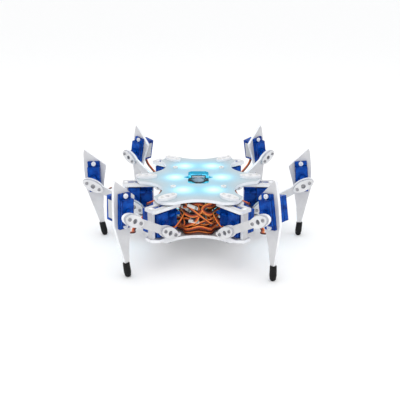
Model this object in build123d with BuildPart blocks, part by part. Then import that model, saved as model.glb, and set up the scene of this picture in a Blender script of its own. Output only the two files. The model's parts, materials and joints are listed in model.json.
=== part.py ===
from build123d import *
import os
from math import asin, cos, radians, sin, tan

# Six-legged walking robot built from laser-cut acrylic plates and eighteen 9 g servos.
# Millimetres. +Z is up, +X is the robot's right, -Y is its front.
# The modelling origin lies on the floor under the middle of the body. The legs reach further forwards
# than back, so each node is exported with the body set a little behind the middle of the whole robot.

# ---- servo, measured from its output shaft and the underside of its mounting ears ----
servo_width = 12.2
servo_long_end = 16.8
servo_short_end = 6.0
servo_below_ears = 16.0
servo_above_ears = 6.7
ear_length = 4.7
ear_thickness = 2.5
ear_hole_pitch = 27.8
ear_hole_radius = 1.0
ear_slit = 1.2
turret_radius = 5.9
turret_height = 4.0
small_turret_radius = 2.9
small_turret_offset = 5.9
case_edge = 0.5
seam_depth = 0.25
seam_height = 0.4
lower_seam = -11.2
upper_seam = 3.6
relief_width = 4.4
relief_length = 1.6
relief_height = 1.8

# ---- output shaft, horn, horn cover and screws ----
shaft_radius = 2.4
running_clearance = 0.05
shaft_depth = 2.4
shaft_bore_extra = 0.2
horn_lift = 0.1
horn_hub_radius = 3.4
horn_hub_height = 2.6
horn_arm_reach = 8.6
horn_arm_width = 4.0
horn_thickness = 1.5
horn_slack = 0.15
horn_screw_pitch = 13.6
cover_length = 21.5
cover_width = 10.4
cover_thickness = 2.4
small_shank_radius = 0.8
small_head_radius = 1.55
small_head_height = 1.0
cross_length = 1.2
cross_width = 0.28
cross_depth = 0.5
centre_head_radius = 1.9
centre_hole_radius = 2.3
centre_head_sink = 2.65
centre_shank = 3.0
centre_bore_radius = 0.85

# ---- body ----
plate = 3.0
middle_hip_x = 53.0
corner_hip_x = 28.5
corner_hip_y = 62.2
lobe_radius = 10.5
side_bay_depth = 15.0
side_bay_radius = 26.0
top_end_bay = {"depth": 8.0, "radius": 34.0}
bottom_end_bay = {"depth": 12.0, "radius": 40.0}
bay_corner = 3.0
window_half_width = 10.5
window_half_length = 20.0
window_corner = 3.2
window_point_reach = 15.4
window_point_half = 4.6

body_shift_x = 0.3
body_shift_y = 4.6

# ---- heights ----
cradle_low = 26.4
cradle_high = 58.6
plate_gap = 1.2
top_plate_low = cradle_high + plate_gap
top_plate_high = top_plate_low + plate
bottom_plate_high = cradle_low - plate_gap
bottom_plate_low = bottom_plate_high - plate

# ---- hip cradle ----
lift_axis_out = 12.5
cradle_inner = -8.0
cradle_outer = 24.2
cradle_front = 9.6
cradle_hip_rear = -11.6
cradle_strip_rear = -4.6
cradle_strip_turn = 11.0
cradle_low_chamfer = 5.6
cradle_corner = 2.0
cradle_round = 1.0
ear_slot_width = 4.8
post_inner = 19.6
post_rear = -2.0
post_front = 4.5
post_tenon = 4.0
mortise_slack = 0.1
turret_slack = 0.3
pivot_radius = 1.5
washer_radius = 3.4
nut_radius = 2.9

# ---- femur and shin ----
femur_length = 45.6
link_end_half_length = 11.4
link_end_half_width = 5.8
link_waist = 7.4
link_gap = 0.5
foot_reach = -6.3
foot_drop = 59.6
shin_window_slack = 0.2
shin_corners = [
    (8.9, 33.6),
    (9.9, 29.6),
    (10.3, 13.0),
    (9.6, -7.0),
    (-2.2, -45.2),
    (-4.6, -56.0),
    (-7.2, -56.0),
    (-6.5, -45.2),
    (-6.3, -27.0),
    (-8.8, -1.0),
]
shin_shoulder = (-12.2, 16.6)
shin_corner_radius = 1.1
shoulder_radius = 2.6
knee_screw_radius = 0.95
knee_head_radius = 2.2
knee_head_height = 1.3
knee_shank = ear_thickness + plate
boot_lean = 9.6
boot_length = 14.6
boot_profile = [
    (0, -0.4),
    (1.5, -0.3),
    (2.8, 1.4),
    (3.35, 5.0),
    (3.1, boot_length - 0.6),
    (2.6, boot_length),
    (0, boot_length),
]

# ---- pillars, bolts, straps ----
pillar_places = [(-24.5, -31), (24.5, -31), (-24.5, 31), (24.5, 31)]
pillar_radius = 2.9
pillar_screw_radius = 1.45
pillar_thread = 8.0
pillar_shank = plate + 6.0
pillar_head_radius = 2.7
pillar_head_height = 1.6
hip_horn_turn = 43.0
hip_screw_reach = 4.8
pivot_head_radius = 2.8
pivot_head_height = 3.6
pivot_shank = 9.6
washer_thickness = 1.0
washer_float = 0.2
nut_height = 2.2
strap_slot_x = 21.5
strap_slot_y = 14.0
strap_slot_length = 12.0
strap_slot_width = 2.4

# ---- electronics ----
board_low = 49.0
board_thickness = 1.6
board_high = board_low + board_thickness
board_half_outline = [(17, -42), (17, -29), (26, -9), (26, 9), (17, 29), (17, 42)]
board_corner_radius = 1.2
board_post_places = [(-6, -39), (6, -39), (-6, 39), (6, 39)]
board_post_radius = 2.4
board_hole_radius = 1.4
board_nut_height = 2.0
board_blocks = [
    ((0, 3.2), (21, 2.5, 8.2)),
    ((0, -1.6), (12.5, 5.4, 3.8)),
    ((-16.9, 0), (5.2, 15.5, 7.8)),
    ((16.9, 0), (5.2, 15.5, 7.8)),
    ((0, 14.5), (18, 14, 1.2)),
    ((0, 28.5), (16, 6, 6)),
    ((0, -22.5), (9, 9, 1.4)),
    ((0, -31.5), (14, 5.5, 6)),
]
buzzer_place = (0, -11)
buzzer_radius = 6.0
buzzer_height = 7.6
buzzer_hole_radius = 1.2
buzzer_hole_depth = 3.0
block_corner = 0.4
light_places = [(-14.5, -38.5), (14.5, -38.5), (-14.5, 38.5), (14.5, 38.5), (-23.6, 0), (23.6, 0)]
light_base = 5.0
light_base_height = 1.5
light_radius = 2.0
light_height = 1.4
battery_width = 37.0
battery_length = 68.0
battery_height = 20.0
battery_edge = 4.0

# ---- wiring bundles inside the body ----
lead_radius = 0.9
bend_share = 0.45
loom_routes = [
    [(5, -44, 40), (2, -53, 42.5), (0.5, -59.5, 50.5), (7.5, -61, 56.5),
     (14, -59, 50), (14.5, -54, 40.5), (8, -46, 36)],
    [(-13, -44.5, 55), (-12, -52, 55), (-7, -58, 48), (3, -58.5, 40.5), (12, -56.5, 34), (16, -47, 32)],
    [(-17, -44.5, 37), (-17.5, -55, 34), (-9.5, -60, 29.8), (3, -60.5, 29.2),
     (14, -58, 29.6), (18, -47, 32.5)],
    [(-15.5, -44.5, 50), (-16.5, -53, 50), (-14.5, -59, 41), (-6, -57, 34), (-2, -47, 31.5)],
]

# Heading of each leg seen from above (0 is +X, 90 is +Y), and lean of its shin outwards.
legs = {
    "front_left": {"hip": (-corner_hip_x, -corner_hip_y), "heading": 223.5, "lean": -2.5, "side": 1},
    "middle_left": {"hip": (-middle_hip_x, 0.0), "heading": 181.5, "lean": 1.0, "side": 1},
    "back_left": {"hip": (-corner_hip_x, corner_hip_y), "heading": 141.0, "lean": -11.0, "side": 1},
    "front_right": {"hip": (corner_hip_x, -corner_hip_y), "heading": -47.5, "lean": -10.0, "side": -1},
    "middle_right": {"hip": (middle_hip_x, 0.0), "heading": -2.5, "lean": -5.5, "side": -1},
    "back_right": {"hip": (corner_hip_x, corner_hip_y), "heading": 39.0, "lean": -10.5, "side": -1},
}

body_place = Location((body_shift_x, body_shift_y, 0))
up = Vector(0, 0, 1)
servo_centre = (servo_short_end - servo_long_end) / 2
servo_length = servo_short_end + servo_long_end
case_top = servo_above_ears
turret_top = servo_above_ears + turret_height
lift_axis_height = (cradle_low + cradle_high) / 2 + servo_centre
ear_face = plate / 2
link_low = ear_face + turret_top + link_gap
hip_turret_top = cradle_high + turret_height - plate

os.makedirs("parts", exist_ok=True)


def export_node(shape, name):
    shape.label = name
    export_step(shape, f"parts/{name}.step")


def save(part, name):
    export_node(part.moved(body_place), name)


def save_group(parts, name):
    """Pieces that touch but come apart: separate solids in one node."""
    solids = [solid.moved(body_place) for part in parts for solid in part.solids()]
    export_node(Compound(children=solids), name)


def add_servo(frame):
    """One servo: frame.origin on the shaft at the ears' underside, x to its short end, z outwards."""
    with BuildSketch(frame.offset(-servo_below_ears)) as profile:
        with Locations((servo_centre, 0)):
            RectangleRounded(servo_length, servo_width, case_edge)
    extrude(profile.sketch, amount=servo_below_ears + servo_above_ears)
    for seam in (lower_seam, upper_seam):
        with BuildSketch(frame.offset(seam)) as profile:
            with Locations((servo_centre, 0)):
                Rectangle(servo_length + 1, servo_width + 1)
                Rectangle(servo_length - 2 * seam_depth, servo_width - 2 * seam_depth, mode=Mode.SUBTRACT)
        extrude(profile.sketch, amount=seam_height, mode=Mode.SUBTRACT)
    with BuildSketch(frame) as profile:
        with Locations((servo_centre, 0)):
            RectangleRounded(servo_length + 2 * ear_length, servo_width, case_edge)
        for end in (-1, 1):
            with Locations((servo_centre + end * ear_hole_pitch / 2, 0)):
                Circle(ear_hole_radius, mode=Mode.SUBTRACT)
            with Locations((servo_centre + end * (ear_hole_pitch / 2 + ear_length / 2), 0)):
                Rectangle(ear_length, ear_slit, mode=Mode.SUBTRACT)
    extrude(profile.sketch, amount=ear_thickness)
    with BuildSketch(frame.offset(case_top)) as profile:
        Circle(turret_radius)
        with Locations((-small_turret_offset, 0)):
            Circle(small_turret_radius)
    extrude(profile.sketch, amount=turret_height)
    with BuildSketch(frame.offset(turret_top - shaft_depth - shaft_bore_extra)) as profile:
        Circle(shaft_radius + running_clearance)
    extrude(profile.sketch, amount=shaft_depth + 1, mode=Mode.SUBTRACT)
    with BuildSketch(frame.offset(-servo_below_ears + relief_height)) as profile:
        with Locations((servo_short_end + relief_length / 2, 0)):
            Rectangle(relief_length, relief_width)
    extrude(profile.sketch, amount=relief_height)


def horn_outline(slack):
    """Two-armed horn seen along its shaft, arms along the sketch's x axis."""
    Circle(horn_hub_radius + slack)
    SlotOverall(2 * (horn_arm_reach + slack), horn_arm_width + 2 * slack)


def add_horn(frame, lead_in):
    """A horn with its shaft: frame.origin on the shaft at the turret's top, z along the shaft."""
    with BuildSketch(frame.offset(-shaft_depth)) as profile:
        Circle(shaft_radius)
    extrude(profile.sketch, amount=shaft_depth + lead_in)
    with BuildSketch(frame.offset(lead_in)) as profile:
        Circle(horn_hub_radius)
    extrude(profile.sketch, amount=horn_hub_height)
    with BuildSketch(frame.offset(lead_in)) as profile:
        horn_outline(0)
    extrude(profile.sketch, amount=horn_thickness)
    with BuildSketch(frame.offset(lead_in)) as profile:
        with Locations((-horn_screw_pitch / 2, 0), (horn_screw_pitch / 2, 0)):
            Circle(small_shank_radius + running_clearance)
    extrude(profile.sketch, amount=horn_thickness, mode=Mode.SUBTRACT)
    with BuildSketch(frame.offset(lead_in + horn_hub_height)) as profile:
        Circle(centre_bore_radius)
    extrude(profile.sketch, amount=-centre_shank - horn_slack, mode=Mode.SUBTRACT)


def add_cover(frame):
    """The oval clamping plate over a horn."""
    with BuildSketch(frame) as profile:
        Ellipse(cover_length / 2, cover_width / 2)
        with Locations((-horn_screw_pitch / 2, 0), (horn_screw_pitch / 2, 0)):
            Circle(small_shank_radius + running_clearance, mode=Mode.SUBTRACT)
        Circle(centre_hole_radius, mode=Mode.SUBTRACT)
    extrude(profile.sketch, amount=cover_thickness)


def add_pan_screw(frame, head_radius, head_height, shank_radius, shank_length):
    """A cross-head screw: frame.origin under its head, z out of the head."""
    with BuildSketch(frame) as profile:
        Circle(head_radius)
    extrude(profile.sketch, amount=head_height)
    with BuildSketch(frame.offset(head_height)) as profile:
        Rectangle(cross_length * head_radius, cross_width * head_radius)
        Rectangle(cross_width * head_radius, cross_length * head_radius)
    extrude(profile.sketch, amount=-cross_depth * head_height, mode=Mode.SUBTRACT)
    with BuildSketch(frame) as profile:
        Circle(shank_radius)
    extrude(profile.sketch, amount=-shank_length)


def add_cover_screws(frame, reach):
    """Two horn screws and the centre screw of one horn; frame on the cover's outer face."""
    for place in (-horn_screw_pitch / 2, horn_screw_pitch / 2):
        seat = Plane(frame.from_local_coords((place, 0, 0)), x_dir=frame.x_dir, z_dir=frame.z_dir)
        add_pan_screw(seat, small_head_radius, small_head_height, small_shank_radius, reach)
    hub = Plane(frame.origin - frame.z_dir * centre_head_sink, x_dir=frame.x_dir, z_dir=frame.z_dir)
    add_pan_screw(hub, centre_head_radius, small_head_height, small_shank_radius, centre_shank)


def draw_body_outline(end_bay):
    """Six lobes joined by hollow bays; the two body plates differ only in their end bays."""
    ring = ["front_left", "middle_left", "back_left", "back_right", "middle_right", "front_right"]
    corners = [legs[name]["hip"] for name in ring]
    Polygon(*corners, align=None)
    offset(amount=lobe_radius)
    for first, second in zip(corners, corners[1:] + corners[:1]):
        middle = Vector((first[0] + second[0]) / 2, (first[1] + second[1]) / 2)
        along = Vector(second[0] - first[0], second[1] - first[1]).normalized()
        outward = Vector(-along.Y, along.X)
        if outward.dot(middle) < 0:
            outward = outward * -1
        on_end = first[1] == second[1]
        depth = end_bay["depth"] if on_end else side_bay_depth
        radius = end_bay["radius"] if on_end else side_bay_radius
        centre = middle + outward * (lobe_radius - depth + radius)
        with Locations((centre.X, centre.Y)):
            Circle(radius, mode=Mode.SUBTRACT)
    offset(amount=-bay_corner)
    offset(amount=bay_corner)


def draw_window():
    """The view window over the control board: a chamfered rectangle with a point at each side."""
    with BuildSketch(mode=Mode.PRIVATE) as opening:
        Rectangle(2 * window_half_width, 2 * window_half_length)
        chamfer(opening.vertices(), window_corner)
    add(opening.sketch, mode=Mode.SUBTRACT)
    for side in (-1, 1):
        tip = (side * window_point_reach, 0)
        root = side * (window_half_width - 1)
        Polygon(tip, (root, window_point_half), (root, -window_point_half), align=None, mode=Mode.SUBTRACT)


def hip_frame(name, height):
    """Plane over a hip axis, x along the leg's resting heading."""
    leg = legs[name]
    turn = radians(leg["heading"])
    return Plane((*leg["hip"], height), x_dir=(cos(turn), sin(turn), 0), z_dir=(0, 0, 1))


def hip_horn_frame(name, height):
    """Plane over a hip axis, x along the lobe's own horn slot, which points outwards."""
    x, y = legs[name]["hip"]
    slant = 0 if y == 0 else radians(hip_horn_turn)
    slot = (cos(slant) * x / abs(x), sin(slant) * (1 if y > 0 else -1), 0)
    return Plane((x, y, height), x_dir=slot, z_dir=(0, 0, 1))


# ---------------------------------------------------------------- body plates
with BuildPart() as top_plate:
    with BuildSketch(Plane.XY.offset(top_plate_low)):
        draw_body_outline(top_end_bay)
        draw_window()
        for place in pillar_places:
            with Locations(place):
                Circle(pillar_screw_radius + running_clearance, mode=Mode.SUBTRACT)
    extrude(amount=plate)
    for name in legs:
        with BuildSketch(hip_horn_frame(name, top_plate_low)):
            horn_outline(horn_slack)
        extrude(amount=plate, mode=Mode.SUBTRACT)
save(top_plate.part, "top_plate")

with BuildPart() as bottom_plate:
    with BuildSketch(Plane.XY.offset(bottom_plate_low)):
        draw_body_outline(bottom_end_bay)
        for place in pillar_places:
            with Locations(place):
                Circle(pillar_screw_radius + running_clearance, mode=Mode.SUBTRACT)
        for name in legs:
            with Locations(legs[name]["hip"]):
                Circle(pivot_radius, mode=Mode.SUBTRACT)
        for x in (-1, 1):
            for y in (-1, 1):
                with Locations((x * strap_slot_x, y * strap_slot_y)):
                    SlotOverall(strap_slot_length, strap_slot_width, rotation=90, mode=Mode.SUBTRACT)
    extrude(amount=plate)
save(bottom_plate.part, "bottom_plate")

with BuildPart() as body_pillars:
    for place in pillar_places:
        with BuildSketch(Plane((*place, bottom_plate_high))):
            RegularPolygon(pillar_radius, 6)
        extrude(amount=top_plate_low - bottom_plate_high)
    for place in pillar_places:
        with BuildSketch(Plane((*place, bottom_plate_high))):
            Circle(pillar_screw_radius)
        extrude(amount=pillar_thread, mode=Mode.SUBTRACT)
        with BuildSketch(Plane((*place, top_plate_low))):
            Circle(pillar_screw_radius)
        extrude(amount=-pillar_thread, mode=Mode.SUBTRACT)
    for place in board_post_places:
        with BuildSketch(Plane((*place, bottom_plate_high))):
            Circle(board_post_radius)
        extrude(amount=board_low - bottom_plate_high)
        with BuildSketch(Plane((*place, board_low))):
            Circle(board_hole_radius)
        extrude(amount=board_thickness)
        with BuildSketch(Plane((*place, board_low + board_thickness))):
            Circle(board_post_radius)
        extrude(amount=board_nut_height)
save(body_pillars.part, "body_pillars")

# ---------------------------------------------------------------- hip horns, covers and screws
with BuildPart() as hip_horns:
    for name in legs:
        add_horn(hip_horn_frame(name, hip_turret_top), top_plate_low - hip_turret_top + horn_lift)
save(hip_horns.part, "hip_horns")

with BuildPart() as hip_covers:
    for name in legs:
        add_cover(hip_horn_frame(name, top_plate_high))
save(hip_covers.part, "hip_covers")

with BuildPart() as body_screws:
    for name in legs:
        add_cover_screws(hip_horn_frame(name, top_plate_high + cover_thickness), hip_screw_reach)
    for place in pillar_places:
        above = Plane((*place, top_plate_high))
        below = Plane((*place, bottom_plate_low), x_dir=(1, 0, 0), z_dir=(0, 0, -1))
        for seat in (above, below):
            add_pan_screw(seat, pillar_head_radius, pillar_head_height, pillar_screw_radius, pillar_shank)
save(body_screws.part, "body_screws")

with BuildPart() as pivot_bolts:
    for name in legs:
        x, y = legs[name]["hip"]
        under = Plane((x, y, bottom_plate_low), x_dir=(1, 0, 0), z_dir=(0, 0, -1))
        add_pan_screw(under, pivot_head_radius, pivot_head_height, pivot_radius, pivot_shank)
with BuildPart() as pivot_nuts:
    for name in legs:
        x, y = legs[name]["hip"]
        with BuildSketch(Plane((x, y, bottom_plate_high))):
            Circle(washer_radius)
            Circle(pivot_radius, mode=Mode.SUBTRACT)
        extrude(amount=washer_thickness)
        with BuildSketch(Plane((x, y, cradle_low + plate + washer_float))):
            RegularPolygon(nut_radius, 6)
            Circle(pivot_radius, mode=Mode.SUBTRACT)
        extrude(amount=nut_height)
save_group([pivot_bolts.part, pivot_nuts.part], "pivot_bolts")

# ---------------------------------------------------------------- electronics
with BuildPart() as control_board:
    with BuildSketch(Plane.XY.offset(board_low)):
        left_side = [(-x, -y) for x, y in board_half_outline]
        Polygon(*board_half_outline, *left_side, align=None)
        offset(amount=board_corner_radius)
        for place in board_post_places:
            with Locations(place):
                Circle(board_hole_radius, mode=Mode.SUBTRACT)
    extrude(amount=board_thickness)
save(control_board.part, "control_board")

with BuildPart() as board_parts:
    for centre, size in board_blocks:
        with BuildSketch(Plane((*centre, board_high))):
            RectangleRounded(size[0], size[1], block_corner)
        extrude(amount=size[2])
    with BuildSketch(Plane((*buzzer_place, board_high))):
        Circle(buzzer_radius)
    extrude(amount=buzzer_height)
    with BuildSketch(Plane((*buzzer_place, board_high + buzzer_height))):
        Circle(buzzer_hole_radius)
    extrude(amount=-buzzer_hole_depth, mode=Mode.SUBTRACT)
save(board_parts.part, "board_parts")

with BuildPart() as light_modules:
    for place in light_places:
        with BuildSketch(Plane((*place, board_high))):
            RectangleRounded(light_base, light_base, block_corner)
        extrude(amount=light_base_height)
        with BuildSketch(Plane((*place, board_high + light_base_height))):
            Circle(light_radius)
        extrude(amount=light_height)
save(light_modules.part, "light_modules")

with BuildPart() as battery_pack:
    with BuildSketch(Plane.XY.offset(bottom_plate_high)):
        RectangleRounded(battery_width, battery_length, battery_edge)
    extrude(amount=battery_height)
    fillet(battery_pack.edges().group_by(Axis.Z)[-1], battery_edge / 2)
save(battery_pack.part, "battery_pack")

# ---------------------------------------------------------------- wiring held inside the body
with BuildPart() as wiring_loom:
    for route in loom_routes:
        points = [Vector(*point) for point in route]
        runs = [(b - a).length for a, b in zip(points, points[1:])]
        turns = [(b - a).get_angle(c - b) for a, b, c in zip(points, points[1:], points[2:])]
        bends = [
            bend_share * min(before, after) / tan(radians(turn) / 2)
            for before, after, turn in zip(runs, runs[1:], turns)
        ]
        with BuildLine(mode=Mode.PRIVATE) as path:
            FilletPolyline(*points, radius=bends)
        with BuildSketch(Plane(origin=path.line @ 0, z_dir=path.line % 0)):
            Circle(lead_radius)
        sweep(path=path.line)
        length = sum(edge.length for edge in path.line.edges())
        print("lead bends", [round(bend, 1) for bend in bends], "length", round(length, 1))
save(wiring_loom.part, "wiring_loom")

# ---------------------------------------------------------------- legs
for name, leg in legs.items():
    side = leg["side"]
    turn = radians(leg["heading"])
    lean = radians(leg["lean"])
    out = Vector(cos(turn), sin(turn), 0)
    face = Vector(-sin(turn), cos(turn), 0) * side
    hip = Vector(*leg["hip"], 0)

    # The femur's rise puts the foot's tip on the floor.
    foot_below_knee = foot_drop * cos(lean) + foot_reach * sin(lean)
    rise = asin((foot_below_knee - lift_axis_height) / femur_length)
    femur_along = out * cos(rise) + up * sin(rise)
    shin_up = out * sin(lean) + up * cos(lean)
    shin_out = out * cos(lean) - up * sin(lean)
    lift_axis = hip + out * lift_axis_out + up * lift_axis_height
    knee_axis = lift_axis + femur_along * femur_length
    print(name, "lift axis", lift_axis, "knee axis", knee_axis, "along", face)

    # ---- hip cradle: two plates joined by an outer post ----
    cradle_pieces = []
    for low, chamfered in ((cradle_low, cradle_low_chamfer), (cradle_high - plate, cradle_corner)):
        with BuildPart() as cradle_plate:
            with BuildSketch(hip_frame(name, low)):
                with BuildSketch(mode=Mode.PRIVATE) as blank:
                    Polygon(
                        (cradle_inner, side * cradle_front),
                        (cradle_outer - chamfered, side * cradle_front),
                        (cradle_outer, side * (cradle_front - chamfered)),
                        (cradle_outer, side * cradle_strip_rear),
                        (cradle_strip_turn, side * cradle_strip_rear),
                        (-cradle_inner, side * cradle_hip_rear),
                        (cradle_inner, side * cradle_hip_rear),
                        align=None,
                    )
                    fillet(blank.vertices(), cradle_round)
                add(blank.sketch)
                if low > cradle_low:
                    Circle(turret_radius + turret_slack, mode=Mode.SUBTRACT)
                    with Locations((0, -side * small_turret_offset)):
                        Circle(small_turret_radius + turret_slack, mode=Mode.SUBTRACT)
                else:
                    Circle(pivot_radius + running_clearance, mode=Mode.SUBTRACT)
                slot_middle = ear_face + ear_thickness + mortise_slack - ear_slot_width / 2
                with Locations((lift_axis_out, side * slot_middle)):
                    Rectangle(servo_width + mortise_slack, ear_slot_width, mode=Mode.SUBTRACT)
                with Locations((post_inner + plate / 2, side * (post_front + post_rear) / 2)):
                    Rectangle(plate + mortise_slack, post_tenon + mortise_slack, mode=Mode.SUBTRACT)
            extrude(amount=plate)
        cradle_pieces.append(cradle_plate.part)
    with BuildPart() as cradle_post:
        with BuildSketch(Plane(hip + out * post_inner, x_dir=face, z_dir=out)):
            with Locations(((post_front + post_rear) / 2, side * (cradle_low + cradle_high) / 2)):
                RectangleRounded(post_front - post_rear, cradle_high - cradle_low - 2 * plate, case_edge)
                Rectangle(post_tenon, cradle_high - cradle_low)
        extrude(amount=plate)
    cradle_pieces.append(cradle_post.part)
    save_group(cradle_pieces, f"{name}_hip_cradle")

    # ---- servos of the hip ----
    swing_frame = Plane(hip + up * (cradle_high - plate - case_top), x_dir=face, z_dir=up)
    with BuildPart() as swing_servo:
        add_servo(swing_frame)
    save(swing_servo.part, f"{name}_swing_servo")

    lift_frame = Plane(lift_axis + face * ear_face, x_dir=-up, z_dir=face)
    with BuildPart() as lift_servo:
        add_servo(lift_frame)
    save(lift_servo.part, f"{name}_lift_servo")

    # ---- femur link with a horn and cover at each end ----
    link_frame = Plane((lift_axis + knee_axis) * 0.5 + face * link_low, x_dir=femur_along, z_dir=face)
    ends = (-femur_length / 2, femur_length / 2)
    with BuildPart() as femur:
        with BuildSketch(link_frame):
            Rectangle(femur_length, link_waist)
            with Locations((ends[0], 0), (ends[1], 0)):
                Ellipse(link_end_half_length, link_end_half_width)
            for end in ends:
                with Locations((end, 0)):
                    Circle(horn_hub_radius + horn_slack, mode=Mode.SUBTRACT)
                    slot_length = 2 * (horn_arm_reach + horn_slack)
                    SlotOverall(slot_length, horn_arm_width + 2 * horn_slack, mode=Mode.SUBTRACT)
        extrude(amount=plate)
    save(femur.part, f"{name}_femur_link")

    with BuildPart() as femur_horns:
        for axis in (lift_axis, knee_axis):
            seat = Plane(axis + face * (ear_face + turret_top), x_dir=femur_along, z_dir=face)
            add_horn(seat, link_gap + horn_lift)
    with BuildPart() as femur_covers:
        for axis in (lift_axis, knee_axis):
            add_cover(Plane(axis + face * (link_low + plate), x_dir=femur_along, z_dir=face))
    with BuildPart() as femur_screws:
        for axis in (lift_axis, knee_axis):
            heads = Plane(axis + face * (link_low + plate + cover_thickness), x_dir=femur_along, z_dir=face)
            add_cover_screws(heads, hip_screw_reach)
    save_group([femur_horns.part, femur_covers.part, femur_screws.part], f"{name}_femur_horns")

    # ---- shin plate, knee servo and rubber foot ----
    shin_frame = Plane(knee_axis - face * plate / 2, x_dir=shin_out, z_dir=face)
    rise_sign = (face.cross(shin_out)).dot(shin_up)

    def shin_point(reach, height):
        return (reach, rise_sign * height)

    with BuildPart() as shin:
        with BuildSketch(shin_frame):
            with BuildSketch(mode=Mode.PRIVATE) as blade:
                Polygon(*[shin_point(*corner) for corner in shin_corners + [shin_shoulder]], align=None)
                by_shoulder = blade.vertices().sort_by_distance((*shin_point(*shin_shoulder), 0))
                fillet(by_shoulder[0], shoulder_radius)
                sharp = [corner for corner in by_shoulder[1:]]
                fillet(sharp, shin_corner_radius)
            add(blade.sketch)
            with Locations(shin_point(0, -servo_centre)):
                Rectangle(
                    servo_width + shin_window_slack, servo_length + shin_window_slack, mode=Mode.SUBTRACT
                )
            for end in (-1, 1):
                with Locations(shin_point(0, -servo_centre + end * ear_hole_pitch / 2)):
                    Circle(knee_screw_radius, mode=Mode.SUBTRACT)
        extrude(amount=plate)
    save(shin.part, f"{name}_shin_plate")

    knee_frame = Plane(knee_axis + face * ear_face, x_dir=-shin_up, z_dir=face)
    with BuildPart() as knee_servo:
        add_servo(knee_frame)
    with BuildPart() as knee_screws:
        for end in (-1, 1):
            along_servo = servo_centre + end * ear_hole_pitch / 2
            place = knee_frame.from_local_coords((along_servo, 0, ear_thickness))
            seat = Plane(place, x_dir=knee_frame.x_dir, z_dir=face)
            add_pan_screw(seat, knee_head_radius, knee_head_height, knee_screw_radius, knee_shank)
    save_group([knee_servo.part, knee_screws.part], f"{name}_knee_servo")

    boot_up = shin_up * cos(radians(boot_lean)) + shin_out * sin(radians(boot_lean))
    foot_tip = knee_axis + shin_out * foot_reach - shin_up * foot_drop
    with BuildPart() as foot:
        with BuildSketch(Plane(foot_tip, x_dir=face, z_dir=boot_up.cross(face) * -1)):
            with BuildSketch(mode=Mode.PRIVATE) as section:
                Polygon(*boot_profile, align=None)
            add(section.sketch)
        revolve(axis=Axis(foot_tip, boot_up))
        add(shin.part, mode=Mode.SUBTRACT)
        split(bisect_by=Plane.XY, keep=Keep.TOP)
    save(foot.part, f"{name}_foot")
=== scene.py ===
import json
import math

import bmesh
import bpy
import numpy as np
from mathutils import Matrix, Vector


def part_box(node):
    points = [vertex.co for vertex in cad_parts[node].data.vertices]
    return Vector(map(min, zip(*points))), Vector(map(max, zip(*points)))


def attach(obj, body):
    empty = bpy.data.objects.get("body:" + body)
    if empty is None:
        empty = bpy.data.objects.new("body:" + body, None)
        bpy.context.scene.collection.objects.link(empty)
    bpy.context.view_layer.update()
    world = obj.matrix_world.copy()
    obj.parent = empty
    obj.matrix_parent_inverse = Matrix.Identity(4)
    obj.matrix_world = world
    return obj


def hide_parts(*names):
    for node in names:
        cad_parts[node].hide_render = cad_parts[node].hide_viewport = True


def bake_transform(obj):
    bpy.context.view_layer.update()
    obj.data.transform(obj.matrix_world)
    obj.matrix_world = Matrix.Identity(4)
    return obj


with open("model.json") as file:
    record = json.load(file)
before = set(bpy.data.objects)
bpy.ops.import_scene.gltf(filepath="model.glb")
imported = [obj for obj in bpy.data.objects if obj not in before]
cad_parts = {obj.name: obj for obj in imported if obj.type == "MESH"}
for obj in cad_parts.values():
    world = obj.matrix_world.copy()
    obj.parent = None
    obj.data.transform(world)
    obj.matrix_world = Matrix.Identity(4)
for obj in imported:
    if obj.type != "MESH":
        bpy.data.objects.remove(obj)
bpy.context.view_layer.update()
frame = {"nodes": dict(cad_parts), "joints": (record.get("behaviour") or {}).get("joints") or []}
nodes = frame["nodes"]
joints = {joint["name"]: joint for joint in frame["joints"]}
LEGS = [f"{row}_{side}" for row in ("front", "middle", "back") for side in ("left", "right")]
UP = Vector((0, 0, 1))
MM = 0.001


# ---------------------------------------------------------------- where things are
def middle(low_high):
    return (low_high[0] + low_high[1]) / 2


BODY = middle(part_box("control_board"))
BODY.z = 0
PLATE_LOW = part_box("top_plate")[0].z
FLOOR_PLATE_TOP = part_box("bottom_plate")[1].z
BOARD_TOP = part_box("control_board")[1].z


def at_body(x, y, z):
    """A point in millimetres from the middle of the body, z above the floor."""
    return Vector((BODY.x + x * MM, BODY.y + y * MM, z * MM))


class Leg:
    """Joint places and directions of one leg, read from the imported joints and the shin."""

    def __init__(self, name):
        self.name = name
        self.hip = Vector(joints[name + "_swing"]["pos_m"])
        self.lift = Vector(joints[name + "_lift"]["pos_m"])
        self.knee = Vector(joints[name + "_knee"]["pos_m"])
        outward = self.lift - self.hip
        outward.z = 0
        self.out = outward.normalized()
        side = 1 if name.endswith("left") else -1
        self.face = UP.cross(self.out) * side
        blade = np.array([v.co for v in nodes[name + "_shin_plate"].data.vertices])
        foot = np.array([v.co for v in nodes[name + "_foot"].data.vertices])
        tip = Vector(blade[blade[:, 2].argmax()].tolist())
        toe = Vector(foot.mean(0).tolist())
        along = tip - toe
        along -= self.face * along.dot(self.face)
        self.along = along.normalized()

    def beside(self, point, out=0.0, face=0.0, up=0.0, along=0.0):
        """The place that many millimetres from a point in the leg's own directions."""
        there = point + self.face * (face * MM) + self.out * (out * MM)
        return there + UP * (up * MM) + self.along * (along * MM)


legs = {name: Leg(name) for name in LEGS}


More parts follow.
